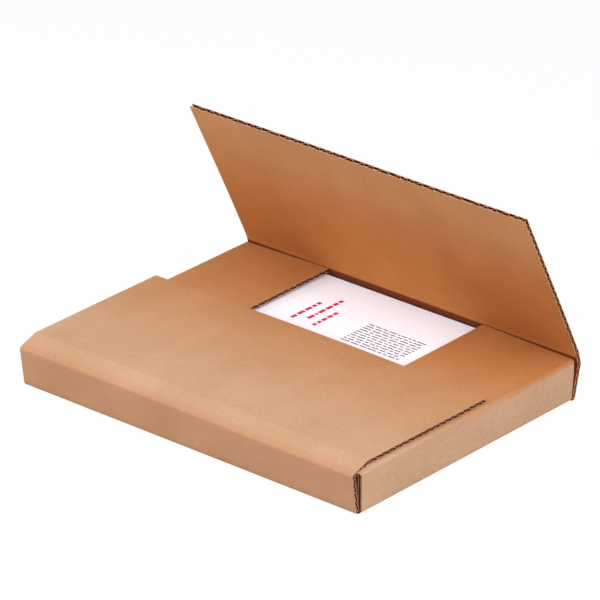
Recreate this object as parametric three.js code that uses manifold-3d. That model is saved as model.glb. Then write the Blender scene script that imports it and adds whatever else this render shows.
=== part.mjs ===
// Wraparound mailer: one sheet of single-wall corrugated board, creased and folded round a book.
// Millimetres, +Z up. +X runs along the front from left to right, +Y from front to back.
// The origin is the middle of the underside.

import * as THREE from 'three';
import { mergeVertices } from 'three/addons/utils/BufferGeometryUtils.js';
import Module from 'manifold-3d';

// Board: two liners glued to a fluted medium, with the flutes running along X
const board = 3;
const liner = 0.4;
const medium = 0.35;
const flutePitch = 6.3;
const fluteFoot = 0.76 * flutePitch;
const fluteCrest = 0.24 * flutePitch;

// Creases: the outer liner bends round foldRadius, and the flutes are crushed for foldCrush each way
const foldRadius = 2.4;
const foldCrush = 2.6;

// Room inside the folded sheet
const insideWidth = 282.6;
const insideDepth = 219;

// Side walls and the flaps folded in from their tops, pressed low at the front under the front wing
const sideHeight = 29.7;
const sideFlapLeft = 75;
const sideFlapRight = 78;
const sideFlapRise = 1;
const sideFluteDepth = 55;
const sidePress = 1.9;

// Front wing: a wall, a narrow sloping band and a broad flap over the side flaps
const frontWall = 27.6;
const frontLean = 2.7;
const frontBand = 16.7;
const frontFlap = 120.6;
const frontShift = 1.5;
const frontDrift = 2.6;

// Rear wing: a leaning wall, a narrow upright band and the lid, which stands open
const rearWall = 26.3;
const rearLean = 7.2;
const rearBand = 10.3;
const rearBandTilt = 16.8;
const rearDrift = 2;
const lidLength = 130.5;
const lidOpen = 62.9;

// Book: its covers stand out from the pages, and it has a little room on every side
const bookCover = 0.5;
const bookOverhang = 0.7;
const bookRoomAcross = 3.6;
const bookRoomDeep = 3;

// Clearances
const slot = 0.4;
const layGap = 0.3;
const creaseGap = 0.6;
const bookGap = 0.3;

// How far a cutting solid reaches past what it cuts, and how near to each other vertices are merged
const beyond = 1;
const mergeReach = 1e-4;

// Fineness of the folds and of the slowly curved flaps
const foldSegments = 3;
const beadSegments = 10;
const flapSteps = 6;
const sideSteps = 8;

const wasm = await Module();
wasm.setup();

// Worked out from the sizes above
const halfBoard = board / 2;
const halfWidth = insideWidth / 2 + board;
const halfDepth = insideDepth / 2 + board;
const wingRoot = board + slot / 2;
const frontWallTop = frontWall * Math.cos(radians(frontLean));
const flapHeight = sideHeight + layGap + board;
const bandSlope = degrees(Math.asin((flapHeight - frontWallTop) / frontBand));
const frontWallReach = frontWall * Math.sin(radians(frontLean));
const flapCreaseY = frontBand * Math.cos(radians(bandSlope)) - halfDepth - frontWallReach;
const flapEdgeY = flapCreaseY + frontFlap;
const shorterFlap = Math.min(sideFlapLeft, sideFlapRight);
const flapBow = sideFlapRise * (halfWidth / shorterFlap) / (2 - sideFlapLeft / halfWidth);
const rearCrease = along([halfDepth, 0], rearWall, 90 - rearLean);
const bandEnd = along(rearCrease, rearBand, 90 + rearBandTilt);
const lidAxis = along(bandEnd, halfBoard, 180 + rearBandTilt);
const bookWidth = insideWidth - bookRoomAcross;
const bookDepth = insideDepth - bookRoomDeep;
const bookThickness = sideHeight - 2 * board - 2 * bookGap;

function radians(angle) {
  return angle * Math.PI / 180;
}

function degrees(angle) {
  return angle * 180 / Math.PI;
}

/** The point at a distance from another, in a direction in degrees from the section's first axis. */
function along([u, v], distance, heading) {
  return [u + distance * Math.cos(radians(heading)), v + distance * Math.sin(radians(heading))];
}

/** The corners of a strip's outer face, panel after panel. */
function outerFace(start, panels) {
  const corners = [start];
  for (const [length, heading] of panels) {
    corners.push(along(corners.at(-1), length, heading));
  }
  return corners.map(([u, v]) => new THREE.Vector2(u, v));
}

/** The panels' unit normals towards the inner face: side is 1 for the left of travel, -1 for the right. */
function inwardNormals(corners, side) {
  return corners.slice(1).map((end, i) => {
    const way = end.clone().sub(corners[i]).normalize();
    return new THREE.Vector2(-way.y, way.x).multiplyScalar(side);
  });
}

/** From a fold's corner to where two lines offset by 1 from the panels meet. */
function mitre(before, after) {
  return before.clone().add(after).divideScalar(1 + before.dot(after));
}

/** The section of a folded strip: outer corners rounded, inner corners creased sharp. */
function stripSection(corners, side) {
  const normals = inwardNormals(corners, side);
  const last = corners.length - 1;
  const shape = new THREE.Shape();
  const inner = [corners[0].clone().addScaledVector(normals[0], board)];
  shape.moveTo(corners[0].x, corners[0].y);
  for (let i = 1; i < last; i += 1) {
    const [before, after] = [normals[i - 1], normals[i]];
    const toMitre = mitre(before, after);
    const centre = corners[i].clone().addScaledVector(toMitre, foldRadius);
    const from = before.clone().negate().angle();
    const to = after.clone().negate().angle();
    shape.absarc(centre.x, centre.y, foldRadius, from, to, side < 0);
    inner.push(corners[i].clone().addScaledVector(toMitre, board));
  }
  shape.lineTo(corners[last].x, corners[last].y);
  inner.push(corners[last].clone().addScaledVector(normals[last - 1], board));
  for (const point of inner.reverse()) {
    shape.lineTo(point.x, point.y);
  }
  shape.closePath();
  return shape;
}

/** The hollow under one flute: foot on one liner, crest one medium's thickness short of the other. */
function fluteHollow(place, way, normal, footOnOuter) {
  const foot = footOnOuter ? liner : board - liner;
  const crest = footOnOuter ? board - liner - medium : liner + medium;
  const corner = (distance, height) => place.clone()
    .addScaledVector(way, distance)
    .addScaledVector(normal, height);
  return new THREE.Shape([
    corner(-fluteFoot / 2, foot),
    corner(fluteFoot / 2, foot),
    corner(fluteCrest / 2, crest),
    corner(-fluteCrest / 2, crest),
  ]);
}

/** The hollows in one flat panel, feet on either liner in turn, between two margins. */
function panelHollows(start, end, normal, startMargin, endMargin) {
  const way = end.clone().sub(start);
  const clear = way.length() - startMargin - endMargin;
  way.normalize();
  const count = Math.floor((clear - fluteFoot) / (flutePitch / 2)) + 1;
  const first = startMargin + (clear - (count - 1) * flutePitch / 2) / 2;
  const hollows = [];
  for (let i = 0; i < count; i += 1) {
    const place = start.clone().addScaledVector(way, first + i * flutePitch / 2);
    hollows.push(fluteHollow(place, way, normal, i % 2 === 0));
  }
  return hollows;
}

/** The hollows of a folded strip from its second panel on, clear of the crushed creases. */
function stripHollows(corners, side) {
  const normals = inwardNormals(corners, side);
  const lastPanel = normals.length - 1;
  return normals.flatMap((normal, i) => {
    if (i === 0) return [];
    const endMargin = i === lastPanel ? liner : foldCrush;
    return panelHollows(corners[i], corners[i + 1], normal, foldCrush, endMargin);
  });
}

/** A section in the YZ plane extruded along X from one place to another. */
function alongX(section, from, to, steps = 1) {
  const geometry = new THREE.ExtrudeGeometry(section, {
    depth: to - from, steps, bevelEnabled: false, curveSegments: foldSegments,
  });
  const [x, y, z] = [new THREE.Vector3(1, 0, 0), new THREE.Vector3(0, 1, 0), new THREE.Vector3(0, 0, 1)];
  return geometry.applyMatrix4(new THREE.Matrix4().makeBasis(y, z, x)).translate(from, 0, 0);
}

/** A section in the XZ plane extruded along Y from one place to another. */
function alongY(section, from, to, steps = 1) {
  const geometry = new THREE.ExtrudeGeometry(section, {
    depth: to - from, steps, bevelEnabled: false, curveSegments: foldSegments,
  });
  return geometry.rotateX(Math.PI / 2).translate(0, to, 0);
}

/** The same geometry with each vertex moved by a function of its place. */
function settled(geometry, move) {
  const places = geometry.attributes.position;
  for (let i = 0; i < places.count; i += 1) {
    const place = new THREE.Vector3().fromBufferAttribute(places, i);
    move(place);
    places.setXYZ(i, place.x, place.y, place.z);
  }
  return geometry;
}

function toSolid(geometry) {
  geometry.deleteAttribute('normal');
  geometry.deleteAttribute('uv');
  const merged = mergeVertices(geometry, mergeReach);
  return new wasm.Manifold(new wasm.Mesh({
    numProp: 3,
    vertProperties: merged.attributes.position.array,
    triVerts: new Uint32Array(merged.index.array),
  }));
}

function toMesh(solid, name, material) {
  const { vertProperties, triVerts } = solid.getMesh();
  const geometry = new THREE.BufferGeometry();
  geometry.setAttribute('position', new THREE.BufferAttribute(vertProperties, 3));
  geometry.setIndex(new THREE.BufferAttribute(triVerts, 1));
  geometry.computeVertexNormals();
  const mesh = new THREE.Mesh(geometry, material);
  mesh.name = name;
  return mesh;
}

/** How far the flaps have sprung up at a depth Y, as a share of that at the front flap's edge. */
function springShare(y) {
  return Math.max(0, (y - flapCreaseY) / (flapEdgeY - flapCreaseY));
}

/** The front wing lies a little to the left, and its flap bows up over the side flaps. */
function settleFront(place) {
  const across = place.x / halfWidth;
  place.x -= frontShift + frontDrift * Math.min(1, place.z / frontWallTop);
  if (place.z > frontWallTop) {
    place.z += flapBow * (1 - across ** 2) * springShare(place.y);
  }
}

/** The rear wing lies a little to the right. */
function settleRear(place) {
  place.x += rearDrift * Math.min(1, place.z / rearCrease[1]);
}

/** A side wing follows the leaning rear wall at its back edge, and its flap springs up at its free edge. */
function settleSide(flapLength) {
  return (place) => {
    const back = (place.y + halfDepth) / (2 * halfDepth);
    const lift = sideFlapRise * springShare(place.y) * (halfWidth - Math.abs(place.x)) / flapLength;
    place.y += Math.tan(radians(rearLean)) * Math.max(0, place.z - board) * back;
    if (place.z > sideHeight - board - liner) {
      place.z += lift;
    }
  };
}

/** A wing folded up from the front or back edge of the base, with its flutes open at both ends. */
function endWing(corners, side, settle, steps) {
  const sheet = alongX(stripSection(corners, side), -halfWidth, halfWidth, steps);
  const hollows = alongX(stripHollows(corners, side), -halfWidth - beyond, halfWidth + beyond, steps);
  return toSolid(settled(sheet, settle)).subtract(toSolid(settled(hollows, settle)));
}

function frontWing() {
  const corners = outerFace([-halfDepth + wingRoot, 0], [
    [wingRoot, 180], [frontWall, 90 + frontLean], [frontBand, bandSlope], [frontFlap, 0],
  ]);
  return endWing(corners, -1, settleFront, flapSteps);
}

function rearWing() {
  const corners = outerFace([halfDepth - wingRoot, 0], [
    [wingRoot, 0], [rearWall, 90 - rearLean], [rearBand - halfBoard - creaseGap, 90 + rearBandTilt],
  ]);
  return endWing(corners, 1, settleRear, 1);
}

/** What the front wing's sloping band presses away from the side wings' front corners. */
function bandPress() {
  const front = -halfDepth + board;
  const section = new THREE.Shape([
    new THREE.Vector2(front - beyond, sideHeight - sidePress),
    new THREE.Vector2(front, sideHeight - sidePress),
    new THREE.Vector2(flapCreaseY, sideHeight),
    new THREE.Vector2(flapCreaseY, sideHeight + beyond),
    new THREE.Vector2(front - beyond, sideHeight + beyond),
  ]);
  return toSolid(alongX(section, -halfWidth - beyond, halfWidth + beyond));
}

/** A side wall and its inward flap, whose flutes are open at the flap's free edge. */
function sideWing(direction, flapLength) {
  const settle = settleSide(flapLength);
  const front = -halfDepth + board + slot;
  const back = halfDepth - board - slot;
  const start = direction * (halfWidth - board - halfBoard);
  const corners = outerFace([start, 0], [
    [board + halfBoard, direction > 0 ? 0 : 180], [sideHeight, 90], [flapLength, direction > 0 ? 180 : 0],
  ]);
  const sheet = alongY(stripSection(corners, direction), front, back, sideSteps);
  const edge = new THREE.Vector2(front, sideHeight);
  const farEdge = new THREE.Vector2(back, sideHeight);
  const hollows = panelHollows(edge, farEdge, new THREE.Vector2(0, -1), liner, liner);
  const freeEdge = direction * (halfWidth - flapLength);
  const openings = [freeEdge - direction * beyond, freeEdge + direction * sideFluteDepth];
  const [from, to] = openings.sort((a, b) => a - b);
  const flutes = alongX(hollows, from, to);
  return toSolid(settled(sheet, settle))
    .subtract(toSolid(settled(flutes, settle)))
    .subtract(bandPress());
}

/** The flat base between the four wings. */
function base() {
  const section = new THREE.Shape([
    new THREE.Vector2(-halfDepth + halfBoard, 0), new THREE.Vector2(halfDepth - halfBoard, 0),
    new THREE.Vector2(halfDepth - halfBoard, board), new THREE.Vector2(-halfDepth + halfBoard, board),
  ]);
  return toSolid(alongX(section, -halfWidth + board, halfWidth - board));
}

/** The sheet as it is folded, in one piece up to the crease that the lid turns on. */
function foldedBoard() {
  return base()
    .add(frontWing())
    .add(rearWing())
    .add(sideWing(-1, sideFlapLeft))
    .add(sideWing(1, sideFlapRight));
}

/** The lid, with the bead of the crease that it turns on at its root. */
function lid() {
  const heading = 180 - lidOpen;
  const way = along([0, 0], 1, heading);
  const root = new THREE.Vector2(...lidAxis);
  const outward = new THREE.Vector2(way[1], -way[0]);
  const outerRoot = root.clone().addScaledVector(outward, halfBoard);
  const outerEdge = new THREE.Vector2(...along([outerRoot.x, outerRoot.y], lidLength, heading));
  const innerEdge = outerEdge.clone().addScaledVector(outward, -board);
  const bead = new THREE.Path();
  bead.absarc(root.x, root.y, halfBoard, radians(heading + 90), radians(heading + 270));
  const section = new THREE.Shape([outerEdge, innerEdge, ...bead.getPoints(beadSegments)]);
  const hollows = panelHollows(outerRoot, outerEdge, outward.clone().negate(), board, liner);
  const left = -halfWidth + rearDrift;
  const right = halfWidth + rearDrift;
  const sheet = toSolid(alongX(section, left, right));
  return sheet.subtract(toSolid(alongX(hollows, left - beyond, right + beyond)));
}

/** A thick book in soft covers, leaning back against the rear wall. */
function book() {
  const lean = Math.tan(radians(rearLean));
  const low = board + bookGap;
  const back = halfDepth - board - bookGap;
  const corner = (height, inset, atBack) => new THREE.Vector2(
    back + lean * height - (atBack ? inset : bookDepth - inset),
    low + height,
  );
  const levels = [
    [0, 0], [bookCover, 0], [bookCover, bookOverhang],
    [bookThickness - bookCover, bookOverhang], [bookThickness - bookCover, 0], [bookThickness, 0],
  ];
  const section = new THREE.Shape([
    ...levels.map(([height, inset]) => corner(height, inset, true)),
    ...levels.reverse().map(([height, inset]) => corner(height, inset, false)),
  ]);
  return toSolid(alongX(section, -bookWidth / 2, bookWidth / 2));
}

const kraft = new THREE.MeshStandardMaterial({ color: 0xc39468, roughness: 0.9, metalness: 0 });
const kraftLid = new THREE.MeshStandardMaterial({ color: 0xb07846, roughness: 0.9, metalness: 0 });
const paper = new THREE.MeshStandardMaterial({ color: 0xf1eff3, roughness: 0.6, metalness: 0 });

const mailer = new THREE.Group();
mailer.add(toMesh(foldedBoard(), 'folded_board', kraft));
mailer.add(toMesh(lid(), 'lid_flap', kraftLid));
mailer.add(toMesh(book(), 'packed_book', paper));

export default mailer;
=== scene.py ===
"""Looks of the wraparound mailer: one corrugated sheet folded round a book, with its lid flap open."""

import math

import bpy
import numpy as np
from mathutils import Matrix, Vector


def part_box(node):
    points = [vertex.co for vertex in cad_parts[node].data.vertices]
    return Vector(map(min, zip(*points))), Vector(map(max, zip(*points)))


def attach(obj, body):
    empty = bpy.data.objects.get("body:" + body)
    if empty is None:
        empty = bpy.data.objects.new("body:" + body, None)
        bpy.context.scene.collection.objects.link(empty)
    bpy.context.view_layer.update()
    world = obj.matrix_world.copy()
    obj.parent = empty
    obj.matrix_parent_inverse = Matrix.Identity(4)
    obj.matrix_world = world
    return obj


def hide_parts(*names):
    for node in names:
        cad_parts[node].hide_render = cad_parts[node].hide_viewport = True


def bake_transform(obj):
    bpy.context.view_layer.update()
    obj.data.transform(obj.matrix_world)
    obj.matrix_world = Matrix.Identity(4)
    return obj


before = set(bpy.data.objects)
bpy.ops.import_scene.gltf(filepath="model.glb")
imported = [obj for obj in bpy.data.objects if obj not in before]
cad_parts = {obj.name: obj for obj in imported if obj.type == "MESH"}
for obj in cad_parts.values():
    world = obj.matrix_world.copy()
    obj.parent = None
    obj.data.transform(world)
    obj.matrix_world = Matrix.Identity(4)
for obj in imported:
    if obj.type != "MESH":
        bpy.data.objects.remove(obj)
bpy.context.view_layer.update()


# Camera
# A long lens from the front right and above, as the photo was taken. Its place was fitted to the
# photo's edges: the base is 288.6 mm wide and 225 mm deep in that fit.

MM = 0.001
camera_azimuth = 40.175
camera_elevation = 25.068
camera_roll = 0.486
camera_distance = 3807.0 * MM
camera_aim = Vector((-38.95, 45.35, 40.06)) * MM
focal_pixels = 5655.0
photo_pixels = 600
sensor = 36.0
clip_end = 100


def look_from(azimuth, elevation):
    """Unit vector from the aim point back to a viewer: azimuth 0 is in front, 90 on the right."""
    a, e = math.radians(azimuth), math.radians(elevation)
    return Vector((math.sin(a) * math.cos(e), -math.cos(a) * math.cos(e), math.sin(e)))


back = look_from(camera_azimuth, camera_elevation)
right = Vector((0, 0, 1)).cross(back).normalized()
turned = Matrix.Rotation(math.radians(camera_roll), 3, back)
right, up = turned @ right, turned @ back.cross(right)
lens = bpy.data.cameras.new("camera")
lens.sensor_width = sensor
lens.lens = focal_pixels / photo_pixels * sensor
lens.clip_end = clip_end
camera = bpy.data.objects.new("camera", lens)
axes = Matrix((right, up, back)).transposed().to_4x4()
camera.matrix_world = Matrix.Translation(camera_aim + back * camera_distance) @ axes
bpy.context.scene.collection.objects.link(camera)
bpy.context.scene.camera = camera
bpy.context.scene.view_settings.view_transform = "Standard"


# Floor and light
# A pale studio sweep under a large softbox, high on the right of the front, with smaller ones low on
# the right and the left. The floor shows white to the lens and keeps a soft shadow.

floor_half = 6.0
floor_paint = (0.62, 0.61, 0.60, 1)
floor_glow = 0.9
floor_brightness = 1.03
white = (1, 1, 1, 1)
sky_light = 0.44
# Name, azimuth and elevation in degrees, side in metres, distance in metres, watts and tint.
softboxes = [
    ("softbox_high", (30, 62), 1.5, 1.5, 17.8, (1.0, 0.985, 0.98)),
    ("softbox_right", (84, 16), 1.3, 1.1, 9.5, (0.93, 1.01, 1.27)),
    ("softbox_left", (-58, 24), 0.4, 0.8, 2.3, (0.95, 1.0, 1.15)),
]


def node(tree, kind, **values):
    """A shader node with its properties, and its input sockets by name, set."""
    made = tree.nodes.new(kind)
    for name, value in values.items():
        if name in made.inputs:
            made.inputs[name].default_value = value
        else:
            setattr(made, name, value)
    return made


def seen_directly(tree):
    """1 for what the lens, a reflection or clear material sees, 0 for light that bounces."""
    path = tree.nodes.new("ShaderNodeLightPath")
    glossy = node(tree, "ShaderNodeMath", operation="MAXIMUM")
    either = node(tree, "ShaderNodeMath", operation="MAXIMUM")
    tree.links.new(path.outputs["Is Camera Ray"], glossy.inputs[0])
    tree.links.new(path.outputs["Is Glossy Ray"], glossy.inputs[1])
    tree.links.new(glossy.outputs[0], either.inputs[0])
    tree.links.new(path.outputs["Is Transmission Ray"], either.inputs[1])
    return either.outputs[0]


def build_floor():
    """A flat square, partly painted and partly glowing where it is seen."""
    corners = np.array([(-1, -1, 0), (1, -1, 0), (1, 1, 0), (-1, 1, 0)]) * floor_half
    mesh = bpy.data.meshes.new("floor")
    mesh.from_pydata(corners.tolist(), [], [(0, 1, 2, 3)])
    material = bpy.data.materials.new("floor")
    material.use_nodes = True
    tree = material.node_tree
    tree.nodes.clear()
    paint = node(tree, "ShaderNodeBsdfDiffuse", Color=floor_paint)
    glow = node(tree, "ShaderNodeEmission", Color=white, Strength=floor_brightness)
    share = node(tree, "ShaderNodeMath", operation="MULTIPLY")
    share.inputs[1].default_value = floor_glow
    mix = tree.nodes.new("ShaderNodeMixShader")
    out = tree.nodes.new("ShaderNodeOutputMaterial")
    tree.links.new(seen_directly(tree), share.inputs[0])
    tree.links.new(share.outputs[0], mix.inputs[0])
    tree.links.new(paint.outputs[0], mix.inputs[1])
    tree.links.new(glow.outputs[0], mix.inputs[2])
    tree.links.new(mix.outputs[0], out.inputs[0])
    mesh.materials.append(material)
    floor = bpy.data.objects.new("floor", mesh)
    bpy.context.scene.collection.objects.link(floor)


def build_world():
    """An even dome: white where it is seen, and dimmer as a light."""
    world = bpy.data.worlds.new("studio")
    world.use_nodes = True
    tree = world.node_tree
    tree.nodes.clear()
    light = node(tree, "ShaderNodeBackground", Color=white, Strength=sky_light)
    seen = node(tree, "ShaderNodeBackground", Color=white, Strength=1.0)
    mix = tree.nodes.new("ShaderNodeMixShader")
    out = tree.nodes.new("ShaderNodeOutputWorld")
    tree.links.new(seen_directly(tree), mix.inputs[0])
    tree.links.new(light.outputs[0], mix.inputs[1])
    tree.links.new(seen.outputs[0], mix.inputs[2])
    tree.links.new(mix.outputs[0], out.inputs[0])
    bpy.context.scene.world = world


build_floor()
build_world()
for name, way, size, distance, power, tint in softboxes:
    lamp = bpy.data.lights.new(name, "AREA")
    lamp.size = size
    lamp.energy = power
    lamp.color = tint
    softbox = bpy.data.objects.new(name, lamp)
    softbox.location = look_from(*way) * distance
    softbox.rotation_euler = look_from(*way).to_track_quat("Z", "Y").to_euler()
    bpy.context.scene.collection.objects.link(softbox)


# Folded sheet
# The mailer's cross-shaped blank of single-wall board: an outer and an inner liner of brown kraft
# glued to a fluted medium. The base and the side wings fold from one strip, and the front wing comes
# up over the side flaps. The flutes run from left to right, and cutting leaves pale, furry edges.

# The board and its panels, in millimetres and degrees.
board = 3.0
liner = 0.42
medium = 0.42
flute_pitch = 6.3
fold_radius = 2.4
crease_radius = 0.35
fold_crush = 2.6
medium_sides = (-medium / 2, medium / 2)

inside_width = 282.6
inside_depth = 219.0
side_height = 29.7
side_flap_left = 75.0
side_flap_right = 78.0
side_flap_rise = 1.0
side_press = 1.9
front_wall = 27.6
front_lean = 2.7
front_band = 16.7
front_flap = 120.6
front_shift = 1.5
front_drift = 2.6
rear_lean = 7.2
slot = 0.4
rear_gap = 1.3
gap_power = 4
lay_gap = 0.3
band_radius = 9.0
bow_blend = 2.0
front_phase = 0.4
side_phase = 1.3

half_width = inside_width / 2 + board
half_depth = inside_depth / 2 + board
wing_root = board + slot / 2
front_wall_top = front_wall * math.cos(math.radians(front_lean))
front_wall_reach = front_wall * math.sin(math.radians(front_lean))
flap_height = side_height + lay_gap + board
band_slope = math.degrees(math.asin((flap_height - front_wall_top) / front_band))
flap_crease_y = front_band * math.cos(math.radians(band_slope)) - half_depth - front_wall_reach
flap_edge_y = flap_crease_y + front_flap
shorter_flap = min(side_flap_left, side_flap_right)
flap_bow = side_flap_rise * (half_width / shorter_flap) / (2 - side_flap_left / half_width)

outer_tan = (0.520, 0.312, 0.180, 1)
# The front wall's tone, a little darker and redder than the top: painted shade, the wall lying out of the key
# light.
outer_wall_shade = (0.515, 0.272, 0.150, 1)
# Deeper orange toward the rear of the top: painted shade, for the lid's shadow and warm bounce light.
outer_rear_shade = (0.450, 0.182, 0.056, 1)
# Inner liner kraft, deeper orange than the outer tan partly as painted shade for the lid's bounce-lit inside.
inner_tan_and_shade = (0.550, 0.262, 0.112, 1)
# Darker, deeper orange low on the lid's inside toward its crease: painted shade and warm bounce light.
inner_rear_shade = (0.500, 0.182, 0.050, 1)
# Painted shade in the gap where the rear wall meets its band, behind the book and the flaps.
crease_shade = (0.150, 0.036, 0.014, 1)
# The board's inside, the medium and the liners' glued sides: kraft brown darkened as painted shade for the
# flute voids.
flute_shade = (0.150, 0.033, 0.010, 1)
cut_pale = (0.640, 0.370, 0.220, 1)
cut_deep = (0.330, 0.115, 0.048, 1)
# Where the painted shade sets in and ends, in metres in the object's own space.
fade_start = -0.090
inner_fade_start = 0.050
fade_end = 0.095
fade_low = 0.0255
fade_high = 0.0295
wall_start = -0.1125
wall_end = -0.1060
shade_low = 0.0310
shade_high = 0.0330
# Relief of the paper, its depth in metres, and the noises' cells to the metre.
outer_ribs = 0.45
inner_ribs = 0.35
rib_depth = 0.00012
rib_strength = 0.35
cloud_cells = 26
cloud_stretch = (1.0, 0.6, 1.0)
fibre_cells = 420
fibre_stretch = (2.2, 0.5, 1.0)
speck_cells = 1500
fur_cells = 700
smooth_cells = 300


def shade(level):
    """A grey of one level."""
    return (level, level, level, 1)


def ramp(tree, value, stops):
    """A colour ramp over a value, from (position, colour) stops."""
    made = tree.nodes.new("ShaderNodeValToRGB")
    elements = made.color_ramp.elements
    while len(elements) < len(stops):
        elements.new(0.5)
    for element, (position, colour) in zip(elements, stops):
        element.position = position
        element.color = colour
    tree.links.new(value, made.inputs[0])
    return made.outputs[0]


def noise(tree, scale, detail=3.0, roughness=0.55, stretch=(1, 1, 1)):
    """Fractal noise in the object's own space, at so many cells to the metre, stretched along axes."""
    place = tree.nodes.new("ShaderNodeTexCoord")
    mapping = node(tree, "ShaderNodeMapping", Scale=stretch)
    made = node(tree, "ShaderNodeTexNoise", Scale=scale, Detail=detail, Roughness=roughness)
    tree.links.new(place.outputs["Object"], mapping.inputs["Vector"])
    tree.links.new(mapping.outputs[0], made.inputs["Vector"])
    return made.outputs["Fac"]


def multiplied(tree, colour, factor):
    """One colour times another."""
    mix = node(tree, "ShaderNodeMix", data_type="RGBA", blend_type="MULTIPLY")
    mix.inputs["Factor"].default_value = 1.0
    tree.links.new(colour, mix.inputs[6])
    tree.links.new(factor, mix.inputs[7])
    return mix.outputs[2]


def rise(tree, axis, start, end):
    """A smooth step from 0 to 1 as the object's X, Y or Z goes from start to end, in metres."""
    place = tree.nodes.new("ShaderNodeTexCoord")
    split = tree.nodes.new("ShaderNodeSeparateXYZ")
    tree.links.new(place.outputs["Object"], split.inputs[0])
    share = node(tree, "ShaderNodeMapRange", interpolation_type="SMOOTHSTEP")
    share.inputs["From Min"].default_value = start
    share.inputs["From Max"].default_value = end
    tree.links.new(split.outputs[axis], share.inputs["Value"])
    return share.outputs[0]


def between(tree, near, far, share):
    """From one colour to another by a share. The second colour may be another node's output."""
    mix = node(tree, "ShaderNodeMix", data_type="RGBA")
    mix.inputs[6].default_value = near
    if isinstance(far, tuple):
        mix.inputs[7].default_value = far
    else:
        tree.links.new(far, mix.inputs[7])
    tree.links.new(share, mix.inputs["Factor"])
    return mix.outputs[2]


def kraft_paper(name, near, far, start, rib_share, shade_step):
    """Kraft liner: cloudy tone, fine fibres, dark specks and the flutes' faint ribs showing through.

    The tone deepens from near to far as Y goes back from start, on the top only: painted shade,
    for the shadow and warm bounce light under the open lid. The walls below fade_low keep the near
    tone. The shade step is a tone, an axis, and the start and end of the step on that axis below
    which that tone takes over: painted shade, as on the front wall and in the rear crease. Fibres
    lie mostly across the flutes. The ribs are a sine of the map's second coordinate, across the flutes.
    """
    shade_tone, shade_axis, shade_start, shade_end = shade_step
    material = bpy.data.materials.new(name)
    material.use_nodes = True
    tree = material.node_tree
    shader = tree.nodes["Principled BSDF"]
    clouds = noise(tree, cloud_cells, detail=4.0, stretch=cloud_stretch)
    fibres = noise(tree, fibre_cells, detail=5.0, roughness=0.7, stretch=fibre_stretch)
    specks = noise(tree, speck_cells, detail=2.0, stretch=cloud_stretch)
    share = node(tree, "ShaderNodeMath", operation="MULTIPLY")
    tree.links.new(rise(tree, "Y", start, fade_end), share.inputs[0])
    tree.links.new(rise(tree, "Z", fade_low, fade_high), share.inputs[1])
    # Painted shade: the top's tone deepens toward the rear, under the open lid.
    colour = between(tree, near, far, share.outputs[0])
    # Painted shade: below the step on its axis, the shade tone takes over.
    colour = between(tree, shade_tone, colour, rise(tree, shade_axis, shade_start, shade_end))
    cloud_tones = [(0.30, (0.93, 0.90, 0.86, 1)), (0.72, (1.05, 1.05, 1.06, 1))]
    colour = multiplied(tree, colour, ramp(tree, clouds, cloud_tones))
    fibre_tones = [(0.25, shade(0.89)), (0.75, shade(1.08))]
    colour = multiplied(tree, colour, ramp(tree, fibres, fibre_tones))
    speck_tones = [(0.27, (0.62, 0.50, 0.40, 1)), (0.34, shade(1.0))]
    colour = multiplied(tree, colour, ramp(tree, specks, speck_tones))
    tree.links.new(colour, shader.inputs["Base Color"])
    shader.inputs["Roughness"].default_value = 0.82
    shader.inputs["Specular IOR Level"].default_value = 0.05

    across = tree.nodes.new("ShaderNodeUVMap")
    parts = tree.nodes.new("ShaderNodeSeparateXYZ")
    turns = node(tree, "ShaderNodeMath", operation="MULTIPLY")
    turns.inputs[1].default_value = 2 * math.pi / (flute_pitch * MM)
    ribs = node(tree, "ShaderNodeMath", operation="SINE")
    height = node(tree, "ShaderNodeMath", operation="MULTIPLY_ADD")
    height.inputs[1].default_value = rib_share
    bump = node(tree, "ShaderNodeBump", Strength=rib_strength, Distance=rib_depth)
    tree.links.new(across.outputs[0], parts.inputs[0])
    tree.links.new(parts.outputs["Y"], turns.inputs[0])
    tree.links.new(turns.outputs[0], ribs.inputs[0])
    tree.links.new(ribs.outputs[0], height.inputs[0])
    tree.links.new(fibres, height.inputs[2])
    tree.links.new(height.outputs[0], bump.inputs["Height"])
    tree.links.new(bump.outputs[0], shader.inputs["Normal"])
    return material


def plain_paper(name, colour, dark, scale, roughness=0.95):
    """Paper seen on a cut or inside a flute: two tones in a fine noise, with no gloss."""
    material = bpy.data.materials.new(name)
    material.use_nodes = True
    tree = material.node_tree
    shader = tree.nodes["Principled BSDF"]
    fur = noise(tree, scale, detail=3.0, roughness=0.7)
    tree.links.new(ramp(tree, fur, [(0.36, dark), (0.62, colour)]), shader.inputs["Base Color"])
    shader.inputs["Roughness"].default_value = roughness
    shader.inputs["Specular IOR Level"].default_value = 0.0
    return material


# Painted shade: the front wall, below wall_start in Y, takes the darker wall tone.
front_wall_shade = (outer_wall_shade, "Y", wall_start, wall_end)
# Painted shade: all inner faces below shade_low in Z darken to the crease shade, for the shaded gap at the
# rear wall.
rear_crease_shade = (crease_shade, "Z", shade_low, shade_high)
outer_kraft = kraft_paper("outer_kraft", outer_tan, outer_rear_shade, fade_start, outer_ribs, front_wall_shade)
inner_kraft = kraft_paper("inner_kraft", inner_tan_and_shade, inner_rear_shade, inner_fade_start, inner_ribs, rear_crease_shade)
cut_edge = plain_paper("cut_edge", cut_pale, cut_deep, fur_cells)
# The inside of the board, in painted shade.
flute_paper = plain_paper("flute_paper", flute_shade, flute_shade, smooth_cells)
board_papers = [outer_kraft, inner_kraft, cut_edge, flute_paper]
OUTER, INNER, CUT, FLUTE = range(4)


def fold_corners(start, panels):
    """Corners of a strip's outer face, from a start and each panel's length and heading in degrees."""
    headings = np.radians([heading for _, heading in panels])
    lengths = np.array([length for length, _ in panels])
    steps = lengths[:, None] * np.stack([np.cos(headings), np.sin(headings)], 1)
    return np.vstack([start, np.array(start) + np.cumsum(steps, 0)])


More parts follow.
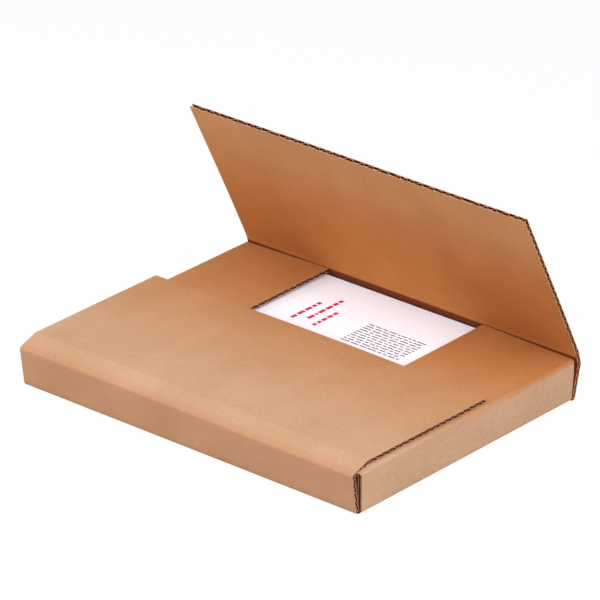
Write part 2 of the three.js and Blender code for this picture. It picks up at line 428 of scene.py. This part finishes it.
def face_line(corners, side, depth, radii, rows, fold_rows):
    """A line at a depth inside a strip's outer face: straight panels joined by arcs.

    Each arc's centre lies on the mitre of its fold, at depth plus radius from the outer corner,
    and the arc runs from the normal of the panel before to that of the panel after.
    """
    ways = np.diff(corners, axis=0)
    ways /= np.linalg.norm(ways, axis=1)[:, None]
    normals = side * np.stack([-ways[:, 1], ways[:, 0]], 1)
    before, after = normals[:-1], normals[1:]
    mitres = (before + after) / (1 + (before * after).sum(1))[:, None]
    radii = np.asarray(radii)[:, None]
    centres = corners[1:-1] + mitres * (depth + radii)
    starts = np.vstack([corners[0] + normals[0] * depth, centres - after * radii])
    ends = np.vstack([centres - before * radii, corners[-1] + normals[-1] * depth])
    cross = before[:, 0] * after[:, 1] - before[:, 1] * after[:, 0]
    turns = np.arctan2(cross, (before * after).sum(1))
    shares = np.linspace(0, 1, fold_rows + 2)[1:-1]
    pieces = []
    for i, (a, b) in enumerate(zip(starts, ends)):
        pieces.append(a + (b - a) * np.linspace(0, 1, rows[i])[:, None])
        if i < len(turns):
            angle = turns[i] * shares
            spun = np.stack([
                before[i, 0] * np.cos(angle) - before[i, 1] * np.sin(angle),
                before[i, 0] * np.sin(angle) + before[i, 1] * np.cos(angle),
            ], 1)
            pieces.append(centres[i] - spun * radii[i])
    return np.vstack(pieces)


class Strip:
    """A folded strip's section. Its outer and inner face lines share their rows, so that a point at
    a distance along the board and a share of its thickness lies on the straight line between them.
    The inside lies on the left of the strip's run where side is 1, and on the right where it is -1.
    The folds have the given radii on the outer face and the creases' radii on the inner one."""

    def __init__(self, start, panels, side, radii, creases, row_step=6.0, fold_rows=7):
        corners = fold_corners(start, panels)
        rows = [max(3, round(length / row_step) + 1) for length, _ in panels]
        self.outer = face_line(corners, side, 0.0, radii, rows, fold_rows)
        self.inner = face_line(corners, side, board, creases, rows, fold_rows)
        middle = (self.outer + self.inner) / 2
        steps = np.linalg.norm(np.diff(middle, axis=0), axis=1)
        self.along = np.concatenate([[0], np.cumsum(steps)])
        self.length = self.along[-1]
        folds = np.cumsum(rows[:-1]) + fold_rows * np.arange(len(rows) - 1) + fold_rows // 2
        self.folds = self.along[folds]

    def at(self, along, depth):
        """Points (u, v) at distances along the board and depths below its outer face."""
        share = np.broadcast_to(np.asarray(depth) / board, np.shape(along))[..., None]
        faces = [
            np.stack([np.interp(along, self.along, line[:, k]) for k in (0, 1)], -1)
            for line in (self.outer, self.inner)
        ]
        return faces[0] * (1 - share) + faces[1] * share

    def crush(self, along):
        """How open the flutes are: 0 at a fold and 1 from fold_crush away, by a smooth step."""
        gap = np.abs(along[..., None] - self.folds).min(-1)
        share = np.clip(gap / fold_crush, 0, 1)
        return share * share * (3 - 2 * share)


def grid_faces(rows, columns, first, flip):
    """Quads of a grid of vertices numbered row by row from first."""
    corner = first + np.arange(rows - 1)[:, None] * columns + np.arange(columns - 1)[None]
    quads = np.stack([corner, corner + 1, corner + columns + 1, corner + columns], -1).reshape(-1, 4)
    return quads[:, ::-1] if flip else quads


def rim_faces(rows, columns, first, second, flip):
    """Quads between the borders of two grids of the same size."""
    index = np.arange(rows * columns).reshape(rows, columns)
    loop = np.concatenate([index[0, :-1], index[:-1, -1], index[-1, :0:-1], index[:0:-1, 0]])
    after = np.roll(loop, -1)
    quads = np.stack([loop + first, loop + second, after + second, after + first], -1)
    return quads[:, ::-1] if flip else quads


sharp_from = math.radians(55)


class Shell:
    """Collects closed thin sheets into one mesh, each with papers for its two faces and its rim."""

    def __init__(self):
        self.points, self.maps, self.quads, self.papers = [], [], [], []
        self.count = 0

    def add(self, top, bottom, maps, papers, flip=False):
        """A sheet between two grids of points. maps holds each point's place on the flat board."""
        rows, columns = top.shape[:2]
        first, second = self.count, self.count + rows * columns
        self.count += 2 * rows * columns
        flat_maps = np.asarray(maps).reshape(-1, 2)
        self.points += [top.reshape(-1, 3), bottom.reshape(-1, 3)]
        self.maps += [flat_maps, flat_maps]
        parts = [
            grid_faces(rows, columns, first, flip),
            grid_faces(rows, columns, second, not flip),
            rim_faces(rows, columns, first, second, flip),
        ]
        for quads, paper in zip(parts, papers):
            self.quads.append(quads)
            self.papers.append(np.full(len(quads), paper))

    def finish(self, name, materials):
        """The mesh object, in metres, at the origin. Edges sharper than sharp_from stay sharp."""
        points = np.vstack(self.points) * MM
        quads = np.vstack(self.quads)
        mesh = bpy.data.meshes.new(name)
        mesh.vertices.add(len(points))
        mesh.vertices.foreach_set("co", points.ravel())
        mesh.loops.add(quads.size)
        mesh.loops.foreach_set("vertex_index", quads.ravel())
        mesh.polygons.add(len(quads))
        mesh.polygons.foreach_set("loop_start", np.arange(0, quads.size, 4))
        mesh.polygons.foreach_set("material_index", np.concatenate(self.papers))
        uv = mesh.uv_layers.new(name="board_map")
        uv.data.foreach_set("uv", (np.vstack(self.maps)[quads.ravel()] * MM).ravel())
        for material in materials:
            mesh.materials.append(material)
        mesh.update(calc_edges=True)
        mesh.validate()
        mesh.shade_smooth()
        mesh.set_sharp_from_angle(angle=sharp_from)
        made = bpy.data.objects.new(name, mesh)
        bpy.context.scene.collection.objects.link(made)
        return made


slow_drift = (0.5, 23.0)
quick_drift = (0.35, 9.1)
burr_pitch = 8.5
burr_reach = 3.0
burr_rows = np.array([0.85, 0.5, 0.05])
burr_columns = 460
burr_inset = 0.3
burr_clip = 1.6
slow_wander = (2.4, 13.0)
quick_wander = (1.6, 5.3)
end_wave_points = 12
side_wave_points = 10
wing_columns = 33
press_columns = 6
flap_columns = 30
liner_row = 9.0
medium_row = 40.0
medium_front_inset = 0.2
medium_rear_inset = 0.1


def wave_depth(distance, offset):
    """Depth of the medium's middle below the outer face: a sine across the flutes, between the
    liners, with a slow drift of its pitch so that no two flutes are quite alike."""
    (slow, slow_run), (quick, quick_run) = slow_drift, quick_drift
    drift = slow * np.sin(distance / slow_run + offset)
    drift = drift + quick * np.sin(distance / quick_run + 2 * offset)
    swing = (board - 2 * liner - medium) / 2
    return board / 2 + swing * np.sin(2 * np.pi * (distance + drift) / flute_pitch + offset)


def burr_depth(x, offset):
    """Depth of the torn medium along an edge that is cut with the flutes: it leans to one liner and
    then the other, by a sine of X with a wandering phase, so that short voids open on either side."""
    (slow, slow_run), (quick, quick_run) = slow_wander, quick_wander
    phase = slow * np.sin(x / slow_run + offset) + quick * np.sin(x / quick_run + 2.1 * offset)
    swing = (board - 2 * liner - medium) / 2
    return board / 2 + swing * np.clip(burr_clip * np.sin(2 * np.pi * x / burr_pitch + phase), -1, 1)


# For shifts in X, Y and Z: their size, then the run and phase of each of the two sines.
buckles = [
    (0.22, 31, 0.6, 17, 1.1),
    (0.25, 37, 1.9, 19, 0.4),
    (0.20, 41, 0.3, 29, 2.2),
]
buckle_height = 20


def buckled(points):
    """Points moved in each direction by the product of slow sines of the two other coordinates, a
    fifth of a millimetre, fading to nothing from buckle_height down to the floor."""
    x, y, z = points[..., 0], points[..., 1], points[..., 2]
    hold = np.clip(z / buckle_height, 0, 1)
    shift = np.stack([
        size * np.sin(a / run_a + phase_a) * np.sin(b / run_b + phase_b)
        for (a, b), (size, run_a, phase_a, run_b, phase_b) in zip([(y, z), (x, z), (x, y)], buckles)
    ], -1)
    return points + shift * hold[..., None]


def spring_share(y):
    """How far the flaps have sprung up at a depth Y, as a share of that at the front flap's edge."""
    return np.maximum(0, (y - flap_crease_y) / (flap_edge_y - flap_crease_y))


def settle_sides(points):
    """Side wings lean back with the rear wall, in proportion to height and to depth, and their flaps
    stop rear_gap short of it. The flaps spring up to the free edge, by lift, and the front wing's
    sloping band presses their front corners thin, in proportion to the way to the front."""
    x, y, z = (points[..., k].copy() for k in range(3))
    share = (y + half_depth) / (2 * half_depth)
    flap = np.where(x < 0, side_flap_left, side_flap_right)
    lift = side_flap_rise * spring_share(y) * (half_width - np.abs(x)) / flap
    under = side_height - board
    on_flap = np.clip(z - (under - 1), 0, 1)
    near_front = np.clip((flap_crease_y - y) / (flap_crease_y + half_depth - board), 0, 1)
    z -= np.maximum(0, z - under) / board * side_press * near_front
    y += math.tan(math.radians(rear_lean)) * np.maximum(0, z - board) * share
    y -= rear_gap * on_flap * share ** gap_power
    return buckled(np.stack([x, y, z + lift * on_flap], -1))


def settle_front(points):
    """The front wing drifts left in proportion to its height. Its flap bows up towards the free edge,
    by a parabola in X, and the bow sets in over bow_blend above the wall."""
    x, y, z = (points[..., k].copy() for k in range(3))
    bow = flap_bow * (1 - (x / half_width) ** 2) * spring_share(y)
    on_flap = np.clip((z - front_wall_top) / bow_blend, 0, 1)
    x -= front_shift + front_drift * np.minimum(1, z / front_wall_top)
    return buckled(np.stack([x, y, z + bow * on_flap], -1))


def across_x(strip, along, depth, x):
    """Grid of points of a YZ section swept along X: rows along the board, columns along X."""
    grid_along = np.broadcast_to(along[:, None], (len(along), len(x)))
    section = strip.at(grid_along, depth)
    return np.stack([np.broadcast_to(x, grid_along.shape), section[..., 0], section[..., 1]], -1)


def across_y(strip, along, depth, y):
    """Grid of points of an XZ section swept along Y: rows along the board, columns along Y."""
    grid_along = np.broadcast_to(along[:, None], (len(along), len(y)))
    section = strip.at(grid_along, depth)
    return np.stack([section[..., 0], np.broadcast_to(y, grid_along.shape), section[..., 1]], -1)


def board_maps(first, second):
    """Places on the flat board: the first coordinate along the flutes, the second across them."""
    return np.stack(np.broadcast_arrays(first, second), -1)


def add_liners(shell, sweep, settle, maps, flip):
    """The two liners of a strip, from a function that gives its points at a depth."""
    faces = [settle(sweep(depth)) for depth in (0, liner, board - liner, board)]
    shell.add(faces[0], faces[1], maps, (OUTER, FLUTE, CUT), flip)
    shell.add(faces[2], faces[3], maps, (FLUTE, INNER, CUT), flip)


def add_end_wing(shell, strip, settle, x, flip, offset):
    """A wing whose flutes run along X: liners, and a waved medium that is open at both sides and
    ends in a torn edge between the liners."""
    along = strip.along
    maps = board_maps(x, along[:, None])
    add_liners(shell, lambda depth: across_x(strip, along, depth, x), settle, maps, flip)
    fine = np.arange(0, strip.length - burr_reach, flute_pitch / end_wave_points)
    middle = board / 2 + (wave_depth(fine, offset) - board / 2) * strip.crush(fine)
    sheet = [settle(across_x(strip, fine, (middle + side)[:, None], x)) for side in medium_sides]
    shell.add(*sheet, board_maps(x, fine[:, None]), (FLUTE, FLUTE, CUT), flip)
    last = strip.length - burr_reach * burr_rows
    close = np.linspace(x[0] + burr_inset, x[-1] - burr_inset, burr_columns)
    middle = np.broadcast_to(burr_depth(close, offset), (len(last), len(close)))
    sheet = [settle(across_x(strip, last, middle + side, close)) for side in medium_sides]
    shell.add(*sheet, board_maps(close, last[:, None]), (FLUTE, FLUTE, CUT), flip)


def add_side_wings(shell):
    """The base with both side wings: one strip whose flutes run along it, open at the free edges."""
    start = [-half_width + side_flap_left, side_height]
    walls = [(side_height, 270), (2 * half_width, 0), (side_height, 90)]
    panels = [(side_flap_left, 180), *walls, (side_flap_right, 180)]
    folds = {"side": 1, "radii": [fold_radius] * 4, "creases": [crease_radius] * 4}
    strip = Strip(start, panels, **folds, row_step=liner_row)
    medium_strip = Strip(start, panels, **folds, row_step=medium_row)
    front = -half_depth + board + slot
    rear = half_depth - board - slot
    pressed = np.linspace(front, flap_crease_y, press_columns)
    y = np.concatenate([pressed, np.linspace(flap_crease_y, rear, flap_columns)[1:]])
    along = strip.along
    maps = board_maps(along[:, None], y)
    add_liners(shell, lambda depth: across_y(strip, along, depth, y), settle_sides, maps, True)
    start, end = front + medium_front_inset, rear - medium_rear_inset
    fine = np.arange(start, end, flute_pitch / side_wave_points)
    middle = wave_depth(fine, side_phase)
    along = medium_strip.along
    sheet = [settle_sides(across_y(medium_strip, along, middle + side, fine)) for side in medium_sides]
    shell.add(*sheet, board_maps(along[:, None], fine), (FLUTE, FLUTE, CUT), True)


front_strip = Strip(
    [-half_depth + wing_root, 0],
    [(wing_root, 180), (front_wall, 90 + front_lean), (front_band, band_slope), (front_flap, 0)],
    side=-1,
    radii=[fold_radius, fold_radius, band_radius],
    creases=[crease_radius, crease_radius, band_radius],
)
wing_x = np.linspace(-half_width, half_width, wing_columns)
sheet_shell = Shell()
add_side_wings(sheet_shell)
add_end_wing(sheet_shell, front_strip, settle_front, wing_x, True, front_phase)
folded_sheet = sheet_shell.finish("folded_sheet", board_papers)
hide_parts("folded_board")
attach(folded_sheet, "mailer_body")


# Rear wing and lid
# The fourth wing of the same sheet, with one even tone outside. Its wall leans out, a narrow band
# stands above it, and the lid turns on the score line at the band's top, where the board bends.

rear_wall = 26.3
rear_band = 10.3
rear_band_tilt = 16.8
rear_drift = 2.0
lid_length = 130.5
lid_open = 62.9
rear_band_radius = 3.0
rear_band_crease = 4.0
lid_radius = 14.0
lid_crease = 22.0
rear_phase = 2.0


def settle_rear(points):
    """The rear wing drifts right in proportion to its height, up to the wall's top."""
    x, y, z = (points[..., k].copy() for k in range(3))
    crease_z = rear_wall * math.cos(math.radians(rear_lean))
    return buckled(np.stack([x + rear_drift * np.minimum(1, z / crease_z), y, z], -1))


rear_strip = Strip(
    [half_depth - wing_root, 0],
    [
        (wing_root, 0), (rear_wall, 90 - rear_lean),
        (rear_band, 90 + rear_band_tilt), (lid_length, 180 - lid_open),
    ],
    side=1,
    radii=[fold_radius, rear_band_radius, lid_radius],
    creases=[crease_radius, rear_band_crease, lid_crease],
)
rear_kraft = kraft_paper("rear_kraft", outer_tan, outer_tan, fade_start, outer_ribs, front_wall_shade)
rear_shell = Shell()
add_end_wing(rear_shell, rear_strip, settle_rear, wing_x, False, rear_phase)
rear_wing = rear_shell.finish("rear_wing", [rear_kraft, *board_papers[1:]])
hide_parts("lid_flap")
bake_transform(rear_wing)


# Book
# A thick soft-cover book, white and glossy, that leans back against the rear wall. Its cover has a
# plain generic print of broken red rules and a block of short grey bars.

rng = np.random.default_rng(7)
book_low, book_high = (np.array(corner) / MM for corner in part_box("packed_book"))
cover_thickness = 0.5
page_inset = 0.7
print_lift = 0.03
cover_white = (0.93, 0.93, 0.96, 1)
# Near the front flap the cover darkens to cover_shaded: a painted shadow of the flap.
cover_shaded = (0.76, 0.72, 0.76, 1)
# A faint lilac glow over the whole cover: painted light, an emission from a cover that is no lamp.
glow_lilac = (0.62, 0.78, 1.0, 1)
cover_glow = 0.17
rear_room = 0.6
print_red = (0.62, 0.055, 0.085, 1)
print_grey = (0.17, 0.16, 0.18, 1)
# Each rule's X, then the Y of its two ends.
rule_lines = [(-46.0, 40.0, 74.0), (-36.5, 46.0, 86.0), (-27.0, 40.0, 66.0)]
rule_width = 3.1
# The block's left edge, row length, front edge, number of rows and row spacing.
bar_block = (2.0, 50.0, 36.0, 10, 3.3)
bar_width = 1.25
bar_lengths = (2.2, 7.5)
bar_gap = 1.3
shortest_bar = 2
ink_roughness = 0.5
page_shadow = (0.42, 0.35, 0.28, 1)
page_white = (0.82, 0.75, 0.66, 1)
page_cells = 1800
page_stretch = (0.02, 0.02, 1.0)
cover_shade_start = 0.020
cover_shade_end = 0.060
COVER, PAGES, RED, GREY = range(4)


def glossy_cover():
    """Coated white board: painted shadow near the front flap, painted light in a faint lilac glow."""
    material = bpy.data.materials.new("book_cover")
    material.use_nodes = True
    tree = material.node_tree
    shader = tree.nodes["Principled BSDF"]
    colour = between(tree, cover_shaded, cover_white, rise(tree, "Y", cover_shade_start, cover_shade_end))
    tree.links.new(colour, shader.inputs["Base Color"])
    # Painted light: the cover glows faintly lilac.
    shader.inputs["Emission Color"].default_value = glow_lilac
    shader.inputs["Emission Strength"].default_value = cover_glow
    shader.inputs["Roughness"].default_value = 0.35
    shader.inputs["Specular IOR Level"].default_value = 0.3
    return material


def page_edges():
    """The cut sides of a few hundred sheets: fine dark lines in Z on warm white."""
    material = bpy.data.materials.new("page_edges")
    material.use_nodes = True
    tree = material.node_tree
    shader = tree.nodes["Principled BSDF"]
    lines = noise(tree, page_cells, detail=2.0, stretch=page_stretch)
    tones = ramp(tree, lines, [(0.35, page_shadow), (0.6, page_white)])
    tree.links.new(tones, shader.inputs["Base Color"])
    shader.inputs["Roughness"].default_value = 0.8
    return material


def add_block(shell, x, y, low, high, papers):
    """A flat block between two heights. Y grows with height by the tangent of the rear wall's lean."""
    lean = math.tan(math.radians(rear_lean))
    grids = []
    for z in (high, low):
        gx, gy = np.meshgrid(x, np.asarray(y) + lean * (z - book_low[2]))
        grids.append(np.stack([gx, gy, np.full_like(gx, z)], -1))
    shell.add(grids[0], grids[1], grids[0][..., :2], papers)


def add_bars(shell, first, last, place, width, along_y, paper):
    """A broken line of short printed bars with gaps like a word space, lengths drawn at random."""
    top = book_high[2]
    start = first
    while start < last - shortest_bar:
        end = min(last, start + rng.uniform(*bar_lengths))
        run, cross = (start, end), (place, place + width)
        x, y = (cross, run) if along_y else (run, cross)
        add_block(shell, x, y, top - print_lift, top + print_lift, (paper,) * 3)
        start = end + bar_gap


book_shell = Shell()
levels = [book_low[2], book_low[2] + cover_thickness, book_high[2] - cover_thickness, book_high[2]]
lean_back = math.tan(math.radians(rear_lean)) * (levels[3] - levels[0])
depth = book_high[1] - book_low[1] - lean_back - rear_room
layers = [(0, COVER), (page_inset, PAGES), (0, COVER)]
for (inset, paper), low, high in zip(layers, levels, levels[1:]):
    across = (book_low[0] + inset, book_high[0] - inset)
    deep = (book_low[1] + inset, book_low[1] + depth - inset)
    add_block(book_shell, across, deep, low, high, (paper,) * 3)
for place, first, last in rule_lines:
    add_bars(book_shell, first, last, place, rule_width, True, RED)
left, length, front, count, spacing = bar_block
for row in range(count):
    add_bars(book_shell, left, left + length, front + row * spacing, bar_width, False, GREY)
red_ink = plain_paper("red_ink", print_red, print_red, smooth_cells, ink_roughness)
grey_ink = plain_paper("grey_ink", print_grey, print_grey, smooth_cells, ink_roughness)
book_block = book_shell.finish("book_block", [glossy_cover(), page_edges(), red_ink, grey_ink])
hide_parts("packed_book")
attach(book_block, "mailer_body")
